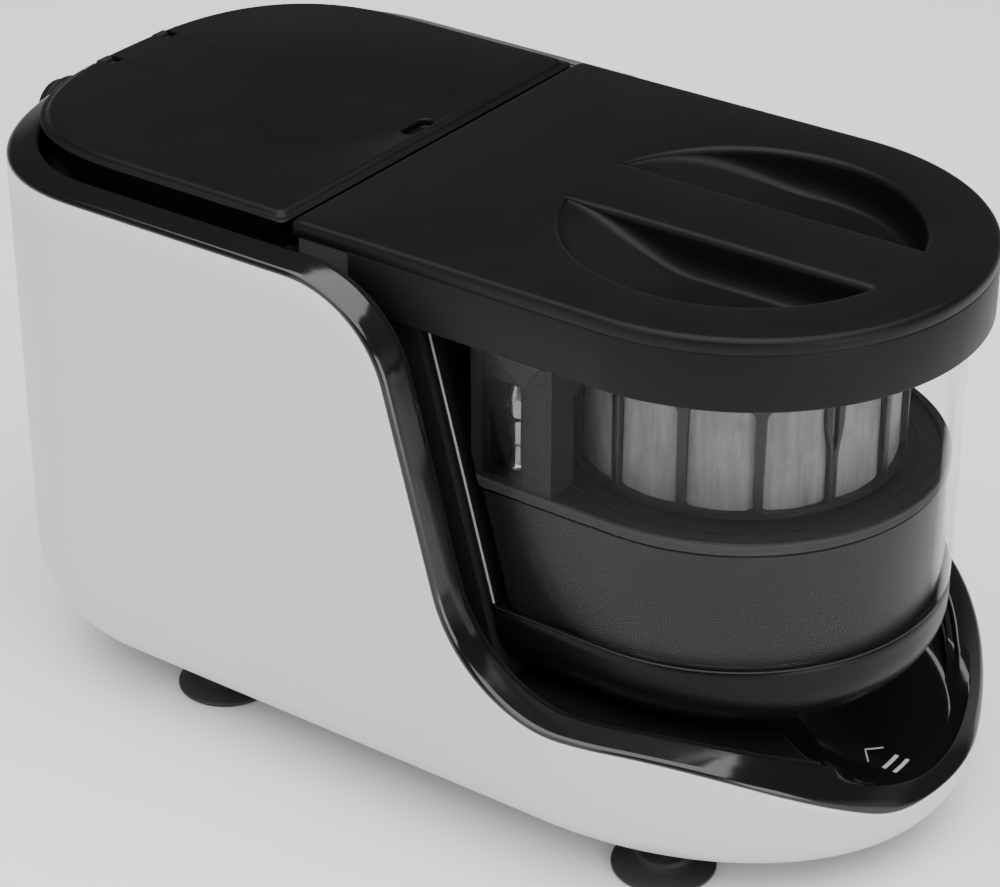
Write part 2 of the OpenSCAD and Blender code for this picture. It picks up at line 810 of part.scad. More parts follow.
module inlet_valve() {
    color("#e9e7e0") difference() {
        union() {
            rod_y(port_x[0], port_z, 100, 144, 8);
            translate([port_x[0] - 10, 110, port_z - 12]) cube([20, 24, 20]);
        }
        rod_y(port_x[0], port_z, 99, 145, 5);
    }
}
module valve_coil() {
    color("#1f4f8f") translate([port_x[0] - 9, 112, port_z - 40]) cube([18, 20, 28]);
}
module port(x, z) {
    difference() {
        union() {
            rod_y(x, z, 144, 172, port_r - 1);
            rod_y(x, z, 144, 163, port_r);
            rod_y(x, z, 161, 163, 12);
        }
        rod_y(x, z, 143, 173, 5);
    }
}
module inlet_port() {
    color("#2a2b2e") port(port_x[0], port_z);
}
module outlet_port() {
    color("#2a2b2e") port(port_x[1], out_z);
}
module port_nuts() {
    color("#707377") for (i = [0, 1]) difference() {
        translate([port_x[i], 149, port_zs[i]]) rotate([-90, 0, 0])
            cylinder(r = 10.2, h = 5, $fn = 6);
        rod_y(port_x[i], port_zs[i], 148, 155, port_r);
    }
}
elbow_r = 12.5;
elbow_y = 176;
tail_l = 56;          // from the port's axis down to the end of the hose tail
collar_l = 23;        // from the port's axis down to the collar
collar_r = 11;
// Elbow that turns on the port, its hose tail hanging down
module elbow(x, z) {
    difference() {
        union() {
            rod_y(x, z, 163.4, elbow_y + 6, elbow_r);
            rod_y(x, z, elbow_y + 5, elbow_y + 10, elbow_r - 2);
            rod_y(x, z, elbow_y + 9, elbow_y + 12, elbow_r - 5);
            translate([x, elbow_y, z - tail_l]) cylinder(r = tail_r, h = 50);
            translate([x, elbow_y, z - collar_l]) cylinder(r = collar_r, h = 3);
        }
        rod_y(x, z, 160, 172.4, port_r - 1 + run_gap);
        rod_y(x, z, 172, elbow_y + 5, 6);
        translate([x, elbow_y, z - tail_l - 1]) cylinder(r = 7, h = tail_l);
    }
}
module inlet_elbow() {
    color("#232427") elbow(port_x[0], port_z);
}
module outlet_elbow() {
    color("#232427") elbow(port_x[1], out_z);
}

// ---- electrics --------------------------------------------------------------
board_x = -58;
board_y = 18;
board_w = 26;
board_l = 88;
board_z = plate_top + 10;
module board_corners() {
    for (x = [board_x + 4, board_x + board_w - 4], y = [board_y + 4, board_y + board_l - 4])
        translate([x, y, 0]) children();
}
module control_board() {
    color("#1f6b3a") difference() {
        translate([board_x, board_y, board_z]) cube([board_w, board_l, 1.6]);
        board_corners() translate([0, 0, board_z - 1]) cylinder(r = 1.6, h = 4);
    }
}
module board_pillars() {
    color("#caa64a") board_corners() {
        translate([0, 0, plate_top]) cylinder(r = 3, h = board_z - plate_top);
        translate([0, 0, board_z]) cylinder(r = 1.6, h = 3);
    }
}
module board_parts() {
    color("#222222") translate([board_x, board_y, board_z + 1.6]) {
        translate([8, 12, 0]) cube([14, 18, 15]);
        translate([8, 34, 0]) cube([12, 12, 2]);
        translate([6, 54, 0]) cube([16, 7, 9]);
        for (i = [0:2]) translate([9 + 5 * i, 70, 0]) cylinder(r = 2.2, h = 11);
    }
}
module power_supply() {
    color("#35373b") translate([44, 38, plate_top]) difference() {
        cube([16, 70, 44]);
        for (i = [0:7]) translate([14.8, 6 + 7.6 * i, 8]) cube([3, 3, 28]);
    }
}
module power_inlet() {
    color("#18181a") difference() {
        union() {
            rod_y(jack_x, jack_z, 146, 161.5, jack_r);
            rod_y(jack_x, jack_z, 161, 163, 9);
        }
        rod_y(jack_x, jack_z, 152, 164, 2.8);
    }
}

outer_shell();
trim_band();
dock_tray();
chassis_plate();
tower_housing();
head_block();
dock_seals();
service_deck();
access_cover();
hinge_pin();
pump_volute();
pump_motor();
drive_motor();
motor_bracket();
control_board();
board_parts();
board_pillars();
power_supply();
power_inlet();
inlet_port();
outlet_port();
port_nuts();
feed_hose();
drain_hose();
outlet_hose();
inlet_valve();
valve_coil();
level_sensor();
suction_feet();
foot_studs();
chassis_screws();
deck_screws();
dock_magnets();
rear_lid();
rear_lid_seal();
clear_bowl();
bowl_joint_ring();
bowl_base();
bowl_keepers();
catch_pot();
pot_seal();
drum_deck();
shaft_bushes();
flow_head();
head_window();
spray_nozzle();
drum_frame();
drum_mesh();
drum_hub();
drum_shaft();
driven_magnet();
front_lid();
lid_liner();
lid_seal();
drive_rotor();
pump_impeller();
inlet_elbow();
outlet_elbow();
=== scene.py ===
import json
import math

import bmesh
import bpy
import numpy as np
from mathutils import Matrix, Vector


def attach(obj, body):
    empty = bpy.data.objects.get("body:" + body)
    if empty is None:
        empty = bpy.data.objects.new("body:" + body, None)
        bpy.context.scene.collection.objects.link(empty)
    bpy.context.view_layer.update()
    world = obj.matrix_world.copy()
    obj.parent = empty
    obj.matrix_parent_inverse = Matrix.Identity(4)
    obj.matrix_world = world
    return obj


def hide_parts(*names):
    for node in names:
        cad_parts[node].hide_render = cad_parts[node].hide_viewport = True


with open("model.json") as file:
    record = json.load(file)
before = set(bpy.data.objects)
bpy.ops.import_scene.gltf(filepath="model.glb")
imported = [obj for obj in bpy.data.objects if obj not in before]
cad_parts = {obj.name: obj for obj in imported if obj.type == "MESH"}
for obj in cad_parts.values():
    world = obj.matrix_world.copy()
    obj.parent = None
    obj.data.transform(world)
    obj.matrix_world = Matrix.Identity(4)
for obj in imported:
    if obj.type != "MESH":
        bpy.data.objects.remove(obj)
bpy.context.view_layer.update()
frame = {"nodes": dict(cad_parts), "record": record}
MM = 0.001

# ---- sizes that the CAD source also uses, in millimetres -------------------
HALF_W = 96.5
NOSE_Y, NOSE_D = -85.0, 103.0
TAIL_Y, TAIL_D, TAIL_N = 91.0, 69.6, 2.3
SHELL_Z, BELLY_R, NOSE_FILLET = 6.0, 45.0, 23.6
SHELL_TOP = 194.0
DOCK_Z = 61.7
TRIM_W = 10.5
DRUM_Y = -101.0             # the bowl's and the front lid's axis
SPIN_Y = -102.2             # the drum turns a little in front of it
BOWL_R, BOWL_T = 72.7, 2.5
LID_TOP, LID_R = 204.0, 80.0
SEAM_Y = 14.5               # where the two lids meet
GRIP_R, GRIP_BAR = 57.0, 32.0
SLANT_A = 74.7              # degrees: the dock's back wall, and the straight run of the S-shaped edge
SLANT = math.tan(math.radians(SLANT_A))
WALL = 2.5                  # the shell's thickness
# the S-shaped edge: centre and radius of the bend at its top, its foot and its nose
KNEE_Y, KNEE_R = 3.6, 38
FOOT_Y, FOOT_R = -99.7, 50
TOE_Y, TOE_R, TOE_A = -116, 86, 141.2
SCOOP_X, SCOOP_Y, SCOOP_Z, SCOOP_R = 0.0, -168.0, 77.0, 50.0
SHARP = math.radians(38)    # edges that are bent more than this stay sharp
CLOUD = 9.0                 # scale of the slow change of colour in every plastic


# ---- materials --------------------------------------------------------------
def new_material(name):
    """A node material, its tree and its Principled shader."""
    m = bpy.data.materials.new(name)
    m.use_nodes = True
    nt = m.node_tree
    bsdf = nt.nodes["Principled BSDF"]
    return m, nt, bsdf


def node(nt, kind, **values):
    """A new node with its settings, such as its operation."""
    n = nt.nodes.new(kind)
    for key, value in values.items():
        setattr(n, key, value)
    return n


def noise(nt, scale, detail, rough=0.55, stretch=(1, 1, 1)):
    """Noise on the piece's own coordinates, so that it stays put when the piece moves."""
    co = node(nt, "ShaderNodeTexCoord")
    mp = node(nt, "ShaderNodeMapping")
    mp.inputs["Scale"].default_value = stretch
    nt.links.new(co.outputs["Object"], mp.inputs["Vector"])
    n = node(nt, "ShaderNodeTexNoise")
    n.inputs["Scale"].default_value = scale
    n.inputs["Detail"].default_value = detail
    n.inputs["Roughness"].default_value = rough
    nt.links.new(mp.outputs["Vector"], n.inputs["Vector"])
    return n.outputs["Fac"]


def ranged(nt, value, low, high, from_low=0.3, from_high=0.7):
    """Maps a value from one range to another; the first is noise's useful range."""
    r = node(nt, "ShaderNodeMapRange")
    r.inputs["From Min"].default_value = from_low
    r.inputs["From Max"].default_value = from_high
    r.inputs["To Min"].default_value = low
    r.inputs["To Max"].default_value = high
    nt.links.new(value, r.inputs["Value"])
    return r.outputs["Result"]


def mixed(nt, factor, a, b):
    """A colour between a and b."""
    mix = node(nt, "ShaderNodeMix", data_type="RGBA")
    nt.links.new(factor, mix.inputs["Factor"])
    mix.inputs["A"].default_value = (*a, 1)
    mix.inputs["B"].default_value = (*b, 1)
    return mix.outputs["Result"]


def edge_wear(nt):
    """1 on outer edges, 0 on flat and hollow places."""
    geo = node(nt, "ShaderNodeNewGeometry")
    return ranged(nt, geo.outputs["Pointiness"], 0.0, 1.0, 0.52, 0.58)


def bumped(nt, height, strength, shader):
    """Fine relief on a shader, at most 0.2 mm deep."""
    b = node(nt, "ShaderNodeBump")
    b.inputs["Strength"].default_value = strength
    b.inputs["Distance"].default_value = 0.0002
    nt.links.new(height, b.inputs["Height"])
    nt.links.new(b.outputs["Normal"], shader.inputs["Normal"])


def plastic(name, low, high, wear, rough, grain, bump, metallic=0.0, stretch=(1, 1, 1), spec=0.5):
    """Moulded plastic, rubber or metal: cloudy colour, worn edges, grain in roughness and bump."""
    m, nt, bsdf = new_material(name)
    base = mixed(nt, ranged(nt, noise(nt, CLOUD, 3), 0.0, 1.0), low, high)
    worn = node(nt, "ShaderNodeMix", data_type="RGBA")
    nt.links.new(edge_wear(nt), worn.inputs["Factor"])
    nt.links.new(base, worn.inputs["A"])
    worn.inputs["B"].default_value = (*wear, 1)
    nt.links.new(worn.outputs["Result"], bsdf.inputs["Base Color"])
    nt.links.new(ranged(nt, noise(nt, CLOUD * 5, 5, stretch=stretch), *rough), bsdf.inputs["Roughness"])
    bumped(nt, noise(nt, grain, 3, stretch=stretch), bump, bsdf)
    bsdf.inputs["Metallic"].default_value = metallic
    bsdf.inputs["Specular IOR Level"].default_value = spec
    return m


def clear(name, tint, rough, face, edge):
    """Clear moulded plastic: see-through head on, glossy where it is seen at a slant.

    face and edge are the shares of gloss head on and at a slant."""
    m, nt, bsdf = new_material(name)
    nt.nodes.remove(bsdf)
    out = nt.nodes["Material Output"]
    through = node(nt, "ShaderNodeBsdfTransparent")
    nt.links.new(mixed(nt, noise(nt, 14, 3), tint, tuple(c * 0.97 for c in tint)),
                 through.inputs["Color"])
    gloss = node(nt, "ShaderNodeBsdfGlossy")
    gloss.inputs["Color"].default_value = (0.92, 0.92, 0.92, 1)
    nt.links.new(ranged(nt, noise(nt, 60, 5), *rough), gloss.inputs["Roughness"])
    bumped(nt, noise(nt, 120, 2), 0.03, gloss)
    lw = node(nt, "ShaderNodeLayerWeight")
    lw.inputs["Blend"].default_value = 0.5
    mix = node(nt, "ShaderNodeMixShader")
    nt.links.new(ranged(nt, lw.outputs["Facing"], face, edge, 0.72, 1.0), mix.inputs["Fac"])
    nt.links.new(through.outputs[0], mix.inputs[1])
    nt.links.new(gloss.outputs[0], mix.inputs[2])
    nt.links.new(mix.outputs[0], out.inputs["Surface"])
    return m


def mesh_steel(name):
    """Fine filter mesh: a woven cell pattern under cloudy vertical streaks."""
    m, nt, bsdf = new_material(name)
    streak = noise(nt, 320, 6, 0.75, (1, 1, 0.10))
    cloud = noise(nt, 90, 6, 0.7, (1, 1, 0.6))
    both = node(nt, "ShaderNodeMath", operation="MULTIPLY_ADD")
    nt.links.new(streak, both.inputs[0])
    both.inputs[1].default_value = 0.65
    part = node(nt, "ShaderNodeMath", operation="MULTIPLY")
    nt.links.new(cloud, part.inputs[0])
    part.inputs[1].default_value = 0.35
    nt.links.new(part.outputs[0], both.inputs[2])
    ramp = node(nt, "ShaderNodeValToRGB")
    for element, position, level in zip(ramp.color_ramp.elements, (0.34, 0.68), (0.15, 0.32)):
        element.position = position
        element.color = (level, level, level, 1)
    nt.links.new(both.outputs[0], ramp.inputs["Fac"])
    nt.links.new(ramp.outputs["Color"], bsdf.inputs["Base Color"])
    nt.links.new(ranged(nt, streak, 0.4, 0.65), bsdf.inputs["Roughness"])
    nt.links.new(ranged(nt, cloud, 0.72, 0.9), bsdf.inputs["Alpha"])
    cells = node(nt, "ShaderNodeTexVoronoi")
    cells.inputs["Scale"].default_value = 1800
    co = node(nt, "ShaderNodeTexCoord")
    nt.links.new(co.outputs["Object"], cells.inputs["Vector"])
    bumped(nt, cells.outputs["Distance"], 0.3, bsdf)
    bsdf.inputs["Metallic"].default_value = 0.1
    return m


def grey(v):
    return (v, v, v)


# slot: colour from and to, worn edge, roughness from and to, grain, bump and the rest
PLASTICS = {
    "shell_white": (0.61, 0.64, 0.72, (0.30, 0.40), 1500, 0.03),
    "trim_gloss": (0.006, 0.008, 0.012, (0.09, 0.15), 1300, 0.01),
    "lid_black": (0.0034, 0.0042, 0.007, (0.40, 0.48), 2200, 0.04, {"spec": 0.16}),
    "base_black": (0.0040, 0.0046, 0.007, (0.28, 0.36), 1900, 0.02, {"spec": 0.15}),
    "pot_satin": (0.009, 0.010, 0.014, (0.28, 0.34), 900, 0.01, {"spec": 0.24}),
    "dark_satin": (0.007, 0.009, 0.014, (0.32, 0.42), 1500, 0.03, {"spec": 0.35}),
    "grey_satin": (0.035, 0.045, 0.07, (0.35, 0.5), 1700, 0.05),
    "hub_grey": (0.16, 0.24, 0.32, (0.4, 0.6), 1200, 0.08),
    "seal_rubber": (0.010, 0.018, 0.03, (0.6, 0.8), 1400, 0.14),
    "foot_rubber": (0.008, 0.016, 0.03, (0.4, 0.6), 1200, 0.12),
    "elbow_black": (0.006, 0.008, 0.014, (0.35, 0.45), 1500, 0.05, {"spec": 0.3}),
    "hose_grey": (0.07, 0.11, 0.14, (0.5, 0.7), 1100, 0.12),
    "inner_grey": (0.08, 0.12, 0.18, (0.45, 0.6), 1300, 0.1),
    "inner_ivory": ((0.58, 0.55, 0.47), (0.68, 0.65, 0.57), (0.75, 0.72, 0.65), (0.4, 0.55), 1300, 0.06),
    "coil_blue": ((0.02, 0.06, 0.2), (0.03, 0.09, 0.26), (0.06, 0.14, 0.33), (0.4, 0.55), 1300, 0.08),
    "board_green": ((0.01, 0.09, 0.03), (0.02, 0.14, 0.05), (0.05, 0.18, 0.08), (0.25, 0.4), 900, 0.12),
    "magnet_dark": (0.05, 0.09, 0.13, (0.35, 0.5), 1300, 0.06, {"metallic": 0.6}),
    "steel": (0.5, 0.6, 0.7, (0.22, 0.38), 1500, 0.08, {"metallic": 1.0, "stretch": (1, 6, 1)}),
    "brass": ((0.6, 0.42, 0.17), (0.72, 0.52, 0.24), (0.8, 0.62, 0.32), (0.25, 0.4), 1200, 0.06,
              {"metallic": 1.0}),
    "mark_grey": (0.45, 0.55, 0.62, (0.45, 0.6), 900, 0.05),
}
MAT = {
    "clear_plastic": clear("clear_plastic", grey(0.98), (0.015, 0.05), 0.006, 0.85),
    "clear_lit": clear("clear_lit", grey(0.86), (0.05, 0.15), 0.26, 0.95),
    "mesh_steel": mesh_steel("mesh_steel"),
}
for slot, row in PLASTICS.items():
    colours = [grey(c) if isinstance(c, float) else c for c in row[:3]]
    MAT[slot] = plastic(slot, *colours, *row[3:6], **(row[6] if len(row) > 6 else {}))
SLOT_OF = {s["node"]: s["material_slot"] for s in frame["record"]["subparts"]}
for name, obj in frame["nodes"].items():
    obj.data.materials.clear()
    obj.data.materials.append(MAT[SLOT_OF[name]])


# ---- mesh building ------------------------------------------------------------
def turn(n):
    """n angles, evenly round a circle."""
    return [2 * math.pi * i / n for i in range(n)]


def arc(cx, cy, r, start, span, n, z, first=0):
    """Points on an arc at height z, from step first to step n of n."""
    return [(cx + r * math.cos(a), cy + r * math.sin(a), z)
            for a in (start + span * i / n for i in range(first, n + 1))]


def place(bm, name, slot, body, replaces):
    """Makes a piece of a mesh in metres, which rides on a body and stands for CAD nodes."""
    bmesh.ops.remove_doubles(bm, verts=bm.verts, dist=2e-6)
    bmesh.ops.recalc_face_normals(bm, faces=bm.faces)
    me = bpy.data.meshes.new(name)
    bm.to_mesh(me)
    bm.free()
    me.polygons.foreach_set("use_smooth", [True] * len(me.polygons))
    me.set_sharp_from_angle(angle=SHARP)
    obj = bpy.data.objects.new(name, me)
    bpy.context.scene.collection.objects.link(obj)
    me.materials.append(MAT[slot])
    if replaces:
        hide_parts(*replaces)
    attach(obj, body)
    return obj


class Builder:
    """Collects points, in millimetres, and faces of one piece."""

    def __init__(self):
        self.v, self.f = [], []

    def loops(self, loops, closed=True, cap_start=False, cap_end=False, wrap=False):
        """Skins equally long loops of points; wrap joins the last loop to the first."""
        base = len(self.v)
        n = len(loops[0])
        for loop in loops:
            self.v.extend(loop)
        rows = len(loops)
        last = rows if wrap else rows - 1
        for r in range(last):
            r2 = (r + 1) % rows
            for i in range(n if closed else n - 1):
                j = (i + 1) % n
                a, b = base + r * n, base + r2 * n
                self.f.append((a + i, a + j, b + j, b + i))
        if cap_start:
            self.f.append(tuple(base + i for i in range(n)))
        if cap_end:
            self.f.append(tuple(base + (rows - 1) * n + i for i in range(n)))
        return self

    def lathe(self, profile, cx, cy, n):
        """Turns a closed profile of (radius, z) about a vertical axis."""
        return self.loops([[(cx + r * math.cos(a), cy + r * math.sin(a), z) for a in turn(n)]
                           for r, z in profile], wrap=True)

    def make(self, name, slot, body, replaces=()):
        raw = bpy.data.meshes.new("points")
        raw.from_pydata([Vector(v) * MM for v in self.v], [], self.f)
        bm = bmesh.new()
        bm.from_mesh(raw)
        bpy.data.meshes.remove(raw)
        return place(bm, name, slot, body, replaces)


def fillet(points, radius, n=4):
    """Rounds the corners of a closed 2D profile."""
    out = []
    count = len(points)
    for i, p in enumerate(points):
        a, b, c = Vector(points[i - 1]), Vector(p), Vector(points[(i + 1) % count])
        u, w = (a - b), (c - b)
        r = min(radius, u.length * 0.45, w.length * 0.45)
        if r < 1e-4 or u.length < 1e-6 or w.length < 1e-6:
            out.append(tuple(b))
            continue
        u.normalize()
        w.normalize()
        for k in range(n + 1):
            t = k / n
            out.append(tuple((b + u * r) * (1 - t) ** 2 + b * 2 * t * (1 - t) + (b + w * r) * t ** 2))
    return out


# ---- shell outline and the S-shaped edge ---------------------------------------
def spow(v, p):
    """A power that keeps the sign, for rounded corners."""
    return math.copysign(abs(v) ** p, v)


def stations():
    """Places round the outline: ('n', angle), ('s', side, y) or ('t', angle), closed."""
    quarter, half = 56, 100
    # closer together where the edge bends
    ys = [float(y) for run in (np.linspace(-85, -53, 14)[1:], np.linspace(-51.5, -33, 26),
                               np.linspace(-32, KNEE_Y, 26), np.linspace(8, 88, 14)) for y in run]
    right = [("n", -math.pi / 2 + math.pi / 2 * i / quarter) for i in range(quarter)]
    right += [("n", 0.0)] + [("s", 1, y) for y in ys]
    tail = [("t", math.pi * i / half) for i in range(half + 1)]
    left = [("s", -1, y) for y in reversed(ys)]
    left += [("n", math.pi + math.pi / 2 * i / quarter) for i in range(quarter)]
    return right + tail + left


STATIONS = stations()


def outline(st, side, front=None, rear=None):
    """(x, y) of a station, moved in by the three insets."""
    front = side if front is None else front
    rear = side if rear is None else rear
    if st[0] == "n":
        return (HALF_W - side) * math.cos(st[1]), NOSE_Y + (NOSE_D - front) * math.sin(st[1])
    if st[0] == "s":
        return st[1] * (HALF_W - side), st[2]
    return ((HALF_W - side) * spow(math.cos(st[1]), 2 / TAIL_N),
            TAIL_Y + (TAIL_D - rear) * spow(max(0.0, math.sin(st[1])), 2 / TAIL_N))


def smooth_min(a, b, k):
    """The lower of two heights, rounded over k where they cross."""
    h = max(0.0, min(1.0, 0.5 + 0.5 * (b - a) / k))
    return b + (a - b) * h - k * h * (1 - h)


def edge_z(y, lift=0.0):
    """Height of the S-shaped edge, moved outward by lift."""
    c, s = math.cos(math.radians(90 + SLANT_A)), math.sin(math.radians(90 + SLANT_A))
    r1, r2, r3 = KNEE_R + lift, FOOT_R - lift, TOE_R + lift
    if y >= KNEE_Y:
        return SHELL_TOP + lift
    y1 = KNEE_Y + r1 * c
    if y >= y1:
        return SHELL_TOP - KNEE_R + math.sqrt(max(0, r1 * r1 - (y - KNEE_Y) ** 2))
    a = math.radians(SLANT_A - 90)
    y2, z2 = FOOT_Y + r2 * math.cos(a), DOCK_Z + FOOT_R + r2 * math.sin(a)
    z1 = SHELL_TOP - KNEE_R + r1 * s
    if y >= y2:
        return z2 + (z1 - z2) * (y - y2) / (y1 - y2)
    if y >= FOOT_Y:
        return DOCK_Z + FOOT_R - math.sqrt(max(0, r2 * r2 - (y - FOOT_Y) ** 2))
    if y >= TOE_Y:
        return DOCK_Z + lift
    dip = DOCK_Z - TOE_R + math.sqrt(max(0, r3 * r3 - (y - TOE_Y) ** 2))
    lowest = DOCK_Z - TOE_R + r3 * math.sin(math.radians(TOE_A))
    return -smooth_min(-dip, -lowest, 4.0)


def belly(z):
    """(side, front) inset of the shell at height z."""
    u = min(1.0, max(0.0, (z - SHELL_Z) / BELLY_R))
    f = min(1.0, max(0.0, (z - SHELL_Z) / NOSE_FILLET))
    return (BELLY_R * (1 - math.sqrt(max(0, 1 - (1 - u) ** 2))),
            NOSE_FILLET * (1 - math.sqrt(max(0, 1 - (1 - f) ** 2))))


def shell_point(st, z, t=0.0):
    """A point on the shell at height z, t inside its outer face."""
    side, front = belly(z)
    return *outline(st, side + t, front + t, side + t), z


def build_shell():
    rows, belly_rows = 40, 24
    outer, inner = [], []
    for k in range(rows + 1):
        ring_o, ring_i = [], []
        for st in STATIONS:
            top = edge_z(outline(st, 0)[1]) - 0.02
            u = 1 - math.cos(math.pi / 2 * (k / belly_rows)) if k < belly_rows else 1.0
            z = SHELL_Z + u * (min(top, SHELL_Z + BELLY_R) - SHELL_Z)
            if k >= belly_rows:
                z += (top - z) * (k - belly_rows) / (rows - belly_rows)
            ring_o.append(shell_point(st, z))
            ring_i.append(shell_point(st, max(z, SHELL_Z + WALL), WALL))
        outer.append(ring_o)
        inner.append(ring_i)
    Builder().loops(outer + inner[::-1]).make("shell_skin", "shell_white", "housing", ["outer_shell"])
    # the floor closes the lowest ring outside and inside, each with a fan round a middle point
    f = Builder()
    for z, ring in ((SHELL_Z, outer[0]), (SHELL_Z + WALL, inner[0])):
        base = len(f.v)
        f.v.extend(ring)
        f.v.append((0, 0, z))
        n = len(ring)
        for i in range(n):
            f.f.append((base + i, base + (i + 1) % n, base + n))
    f.make("shell_floor", "shell_white", "housing")


def scoop_z(x, y):
    """Height of the finger scoop's surface, far above everything outside it."""
    d2 = SCOOP_R ** 2 - (x - SCOOP_X) ** 2 - (y - SCOOP_Y) ** 2
    return SCOOP_Z - math.sqrt(d2) if d2 > 0 else 400.0


def build_trim():
    """The glossy band along the edge; the scoop runs out through its inner half."""
    # (inset, lift) across its width and down its inner wall
    profile = fillet([(0.0, 0.1), (0.3, 1.2), (1.4, 1.9), (4.7, 2.72), (5.2, 2.85), (9.4, 3.9), (10.5, 3.3),
                      (10.5, -5.5), (8.3, -5.5), (8.3, 0.1)], 0.5, 3)
    loops = []
    for inset, lift in profile:
        ring = []
        for st in STATIONS:
            z0 = edge_z(outline(st, 0)[1])
            side, front = belly(z0)
            grow = max(0.0, 1 - inset / TRIM_W)
            x, y = outline(st, side * grow + inset, front * grow + inset, inset)
            z = edge_z(y, lift)
            if inset > 4.9:
                cut = scoop_z(x, y)
                z = smooth_min(z, cut, 1.4) if lift > 0.5 else min(z, cut - 1.0)
            ring.append((x, y, z))
        loops.append(ring)
    Builder().loops(loops, wrap=True).make("trim_skin", "trim_gloss", "housing", ["trim_band"])


# ---- dock: cheeks beside the bowl, floor and finger scoop -----------------------
def floor_z(x, y):
    """Height of the dock's floor with the finger scoop in it."""
    z = DOCK_Z - 3.5 if y > FOOT_Y else edge_z(y, -3.5)
    return smooth_min(z, scoop_z(x, y), 2.2)


def build_dock():
    b = Builder()
    rows, cols = 130, 110
    front, back, thick = -177.2, -49, 2.4
    across = np.sin(np.linspace(-1, 1, cols) * math.pi / 2)
    top, under = [], []
    for k in range(rows + 1):
        y = front + (back - front) * (k / rows) ** 1.15
        w = HALF_W - TRIM_W
        if y < NOSE_Y:
            w *= math.sqrt(max(0, 1 - ((y - NOSE_Y) / (NOSE_D - TRIM_W)) ** 2))
        w = max(w, 0.4)
        top.append([(w * u, y, floor_z(w * u, y)) for u in across])
        under.append([(x, y, z - thick) for x, y, z in top[-1]])
    b.loops(top, closed=False)
    base = len(b.v)
    b.loops(under, closed=False)
    rim = [k * cols for k in range(rows + 1)] + [rows * cols + i for i in range(1, cols)] \
        + [k * cols + cols - 1 for k in range(rows - 1, -1, -1)] + [i for i in range(cols - 2, 0, -1)]
    for i, a in enumerate(rim):
        c = rim[(i + 1) % len(rim)]
        b.f.append((a, c, base + c, base + a))
    b.make("dock_floor_skin", "trim_gloss", "housing", ["dock_tray"])


def build_cheeks():
    """A wall inside the band, from just under the dock's floor to the edge."""
    keep = [i for i, st in enumerate(STATIONS) if st[0] == "n" or (st[0] == "s" and st[2] <= 12.0)]
    # from the left side, round the nose, to the right side
    half = len(STATIONS) // 2
    run = [STATIONS[i] for i in keep if i > half] + [STATIONS[i] for i in keep if i <= half]
    loops = []
    for inset, lift, at_foot in ((10.6, 1.2, True), (10.6, 1.2, False), (11.0, 2.0, False),
                                 (13.0, 2.0, False), (13.5, 1.2, False), (13.5, 1.2, True)):
        ring = []
        for st in run:
            x, y = outline(st, inset)
            top_z = min(edge_z(y, lift), scoop_z(x, y) - 0.5)
            low_z = min(floor_z(x, y) - 1.0, top_z - 3.0)
            ring.append((x, y, low_z if at_foot else top_z))
        loops.append(ring)
    Builder().loops(loops, closed=False, wrap=True).make("dock_cheeks", "trim_gloss", "housing")


# ---- bowl, base and pot: D-shaped loops ------------------------------------------
def slant_y(z):
    """Where the flat back of the bowl stands at height z."""
    return -57.3 + (z - 83.7) / SLANT


def d_loop(r, z, gap):
    """A D-shaped loop at height z: round front, straight sides, flat back at the slant."""
    back = slant_y(z) - gap
    c = 3.0
    pts = arc(0, DRUM_Y, r, math.pi, math.pi, 72, z)
    pts += [(r, DRUM_Y + (back - c - DRUM_Y) * k / 6, z) for k in range(1, 7)]
    pts += arc(r - c, back - c, c, 0, math.pi / 2, 6, z, first=1)
    pts += [(r - c - 2 * (r - c) * k / 12, back, z) for k in range(1, 12)]
    pts += arc(-r + c, back - c, c, math.pi / 2, math.pi / 2, 6, z)
    pts += [(-r, back - c + (DRUM_Y - back + c) * k / 6, z) for k in range(1, 6)]
    return pts


def wall_loops(r, t, z0, z1, gap, steps=14, lip=0.5):
    """Outside up, over a rounded rim, inside down."""
    loops = [d_loop(r - lip, z0, gap + lip)]
    run = z1 - z0 - 2 * lip
    loops += [d_loop(r, z0 + lip + run * k / steps, gap) for k in range(steps + 1)]
    loops += [d_loop(r - lip, z1, gap + lip), d_loop(r - t + lip, z1, gap + t - lip)]
    loops += [d_loop(r - t, z1 - lip - run * k / steps, gap + t) for k in range(steps + 1)]
    loops += [d_loop(r - t + lip, z0, gap + t - lip)]
    return loops


def build_bowl():
    Builder().loops(wall_loops(BOWL_R, BOWL_T, 85.4, 197.2, 0.0), wrap=True).make(
        "bowl_glass", "clear_plastic", "bowl", ["clear_bowl"])
    Builder().loops(wall_loops(72.72, 0.5, 84.6, 85.2, -0.02, 2, 0.12), wrap=True).make(
        "bowl_joint_line", "dark_satin", "bowl", ["bowl_joint_ring"])
    # painted highlight: a thin light grey rod up each rear corner of the clear bowl stands in for the bright edge
    # that light makes there
    b = Builder()
    for side in (-1, 1):
        loops = []
        for z in np.linspace(86, 180, 40):
            cx, cy, r = side * (BOWL_R - 0.75), slant_y(z) - 1.1, 0.42
            loops.append([(cx + r * math.cos(a), cy + r * math.sin(a), z) for a in turn(12)])
        b.loops(loops, cap_start=True, cap_end=True)
    b.make("bowl_corner_painted_highlights", "hub_grey", "bowl")


